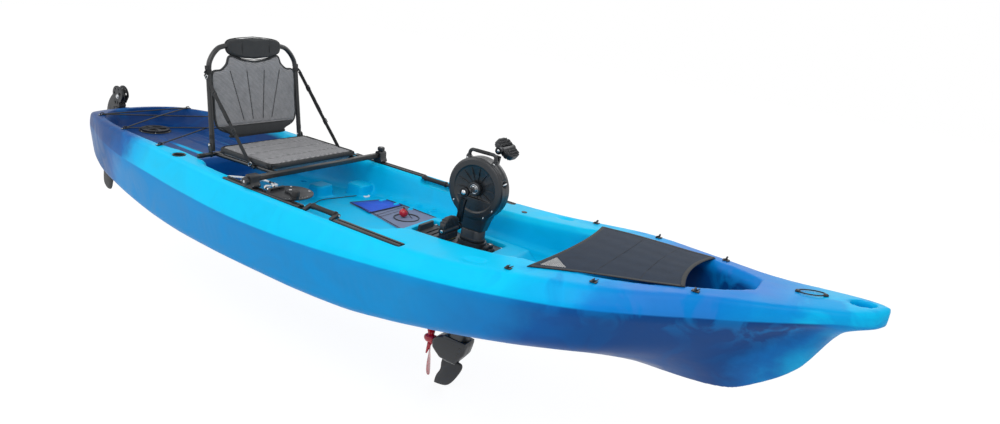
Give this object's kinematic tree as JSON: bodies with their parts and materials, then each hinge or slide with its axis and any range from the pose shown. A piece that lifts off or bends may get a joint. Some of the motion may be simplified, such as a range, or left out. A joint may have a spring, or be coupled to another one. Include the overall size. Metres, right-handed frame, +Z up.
{
  "type": "pedal kayak",
  "caption": "Sit-on-top fishing kayak with a lift-out pedal drive and propeller, a folding framed seat, a hand-steered stern rudder and gear rails.",
  "frame": {"origin": "on the flat of the hull bottom, on the centre line, below the paddler’s knees", "axes": "+X runs to the bow, +Y to port, +Z up"},
  "size_m": [3.82, 0.854, 1.2043],
  "materials": {
    "moulded_shell": "satin",
    "moulded_black": "matte",
    "grip_rubber": "matte",
    "drive_housing": "satin",
    "bearing_steel": "brushed",
    "bronze": "satin",
    "crank_alloy": "satin",
    "frame_tube": "satin",
    "red_moulding": "gloss",
    "white_sleeve": "satin",
    "seat_mesh": "matte",
    "dark_webbing": "matte",
    "cover_fabric": "matte",
    "foam_mat": "matte"
  },
  "bodies": {
    "hull": {"hull": "moulded_shell", "hatch_ring": "moulded_black", "rail_rear_port": "moulded_black", "rail_rear_starboard": "moulded_black", "rail_front_port": "moulded_black", "rail_front_starboard": "moulded_black", "gearcase_port": "drive_housing", "gearcase_starboard": "drive_housing", "axle_bearing_port": "bearing_steel", "axle_bearing_starboard": "bearing_steel", "lower_case_port": "drive_housing", "lower_case_starboard": "drive_housing", "drive_handle": "grip_rubber", "drive_mast": "drive_housing", "drive_base": "moulded_black", "shaft_bearing": "bronze", "propeller_bearing": "bronze", "skeg_fin": "moulded_black", "rudder_bracket": "moulded_black", "steering_base": "moulded_black", "rudder_line_sleeve_outer": "white_sleeve", "rudder_line_sleeve_inner": "white_sleeve", "bow_cover": "cover_fabric", "floor_mat": "foam_mat", "toggle_ball": "red_moulding", "tank_bungee": "grip_rubber"},
    "hatch_lid": {"hatch_lid": "moulded_black"},
    "carry_grip_port": {"carry_grip_port": "grip_rubber"},
    "carry_grip_starboard": {"carry_grip_starboard": "grip_rubber"},
    "crankset": {"crank_axle": "bearing_steel", "ring_gear": "bearing_steel", "crank_arm_port": "crank_alloy", "crank_arm_starboard": "crank_alloy"},
    "pedal_port": {"pedal_port": "moulded_black"},
    "pedal_starboard": {"pedal_starboard": "moulded_black"},
    "vertical_shaft": {"drive_shaft": "bearing_steel", "upper_pinion": "bearing_steel", "lower_pinion": "bearing_steel"},
    "propeller": {"propeller_shaft": "bearing_steel", "propeller_gear": "bearing_steel", "propeller": "red_moulding"},
    "rudder_yoke": {"rudder_yoke": "moulded_black", "rudder_pivot_bolt": "bearing_steel"},
    "rudder_blade": {"rudder_blade": "moulded_black"},
    "steering_lever": {"steering_lever": "moulded_black"},
    "seat": {"seat_base_frame": "frame_tube", "seat_front_bar": "frame_tube", "rail_clamp_port": "moulded_black", "rail_clamp_starboard": "moulded_black", "seat_cushion": "seat_mesh", "strap_port": "dark_webbing", "strap_starboard": "dark_webbing"},
    "clamp_knob_port": {"clamp_knob_port": "moulded_black"},
    "clamp_knob_starboard": {"clamp_knob_starboard": "moulded_black"},
    "backrest": {"backrest_frame": "frame_tube", "backrest_panel": "seat_mesh", "headrest_pad": "dark_webbing"},
    "drive_latch_rear": {"drive_latch_rear": "bearing_steel"},
    "drive_latch_front": {"drive_latch_front": "moulded_black"}
  },
  "joints": [
    {"name": "hatch_lid_turn", "type": "hinge", "parent": "hull", "child": "hatch_lid", "pos_m": [-1.59, 0, 0.262], "axis": [0, 0, 1], "range_deg": [0, 90]},
    {"name": "carry_grip_port_lift", "type": "hinge", "parent": "hull", "child": "carry_grip_port", "pos_m": [-0.0375, 0.357, 0.3333], "axis": [-1, 0, 0], "range_deg": [0, 100]},
    {"name": "carry_grip_starboard_lift", "type": "hinge", "parent": "hull", "child": "carry_grip_starboard", "pos_m": [-0.0375, -0.357, 0.3333], "axis": [1, 0, 0], "range_deg": [0, 100]},
    {"name": "crank_spin", "type": "hinge", "parent": "hull", "child": "crankset", "pos_m": [0.392, 0, 0.485], "axis": [0, 1, 0], "continuous": true},
    {"name": "pedal_port_spin", "type": "hinge", "parent": "crankset", "child": "pedal_port", "pos_m": [0.40333, 0.143, 0.6145], "axis": [0, 1, 0], "continuous": true},
    {"name": "pedal_starboard_spin", "type": "hinge", "parent": "crankset", "child": "pedal_starboard", "pos_m": [0.38067, -0.143, 0.3555], "axis": [0, 1, 0], "continuous": true},
    {"name": "vertical_shaft_spin", "type": "hinge", "parent": "hull", "child": "vertical_shaft", "pos_m": [0.392, 0, 0.2], "axis": [0, 0, 1], "continuous": true},
    {"name": "propeller_spin", "type": "hinge", "parent": "hull", "child": "propeller", "pos_m": [0.3, 0, -0.185], "axis": [1, 0, 0], "continuous": true},
    {"name": "rudder_steer", "type": "hinge", "parent": "hull", "child": "rudder_yoke", "pos_m": [-1.905, 0, 0.318], "axis": [0, 0, 1], "range_deg": [-40, 40]},
    {"name": "rudder_lift", "type": "hinge", "parent": "rudder_yoke", "child": "rudder_blade", "pos_m": [-1.89, 0, 0.375], "axis": [0, 1, 0], "range_deg": [0, 130]},
    {"name": "steering_lever_turn", "type": "hinge", "parent": "hull", "child": "steering_lever", "pos_m": [-0.245, -0.3, 0.3476], "axis": [0, 0, 1], "range_deg": [-40, 40]},
    {"name": "seat_slide", "type": "slide", "parent": "hull", "child": "seat", "axis": [1, 0, 0], "range_m": [-0.08, 0.015]},
    {"name": "clamp_knob_port_turn", "type": "hinge", "parent": "seat", "child": "clamp_knob_port", "pos_m": [-0.389, 0.357, 0.3923], "axis": [0, 0, 1], "range_deg": [0, 180]},
    {"name": "clamp_knob_starboard_turn", "type": "hinge", "parent": "seat", "child": "clamp_knob_starboard", "pos_m": [-0.389, -0.3783, 0.368], "axis": [0, 1, 0], "range_deg": [0, 180]},
    {"name": "backrest_fold", "type": "hinge", "parent": "seat", "child": "backrest", "pos_m": [-0.8, 0, 0.395], "axis": [0, 1, 0], "range_deg": [0, 70], "deforming": ["strap_port", "strap_starboard"]},
    {"name": "drive_latch_rear_turn", "type": "hinge", "parent": "hull", "child": "drive_latch_rear", "pos_m": [0.296, 0, 0.2773], "axis": [0, 0, -1], "range_deg": [0, 90]},
    {"name": "drive_latch_front_turn", "type": "hinge", "parent": "hull", "child": "drive_latch_front", "pos_m": [0.472, 0, 0.2773], "axis": [0, 0, 1], "range_deg": [0, 90]}
  ],
  "couplings": [
    {"joint": "vertical_shaft_spin", "follows": "crank_spin", "ratio": 4},
    {"joint": "propeller_spin", "follows": "crank_spin", "ratio": 6.6667},
    {"joint": "steering_lever_turn", "follows": "rudder_steer", "ratio": -1}
  ]
}
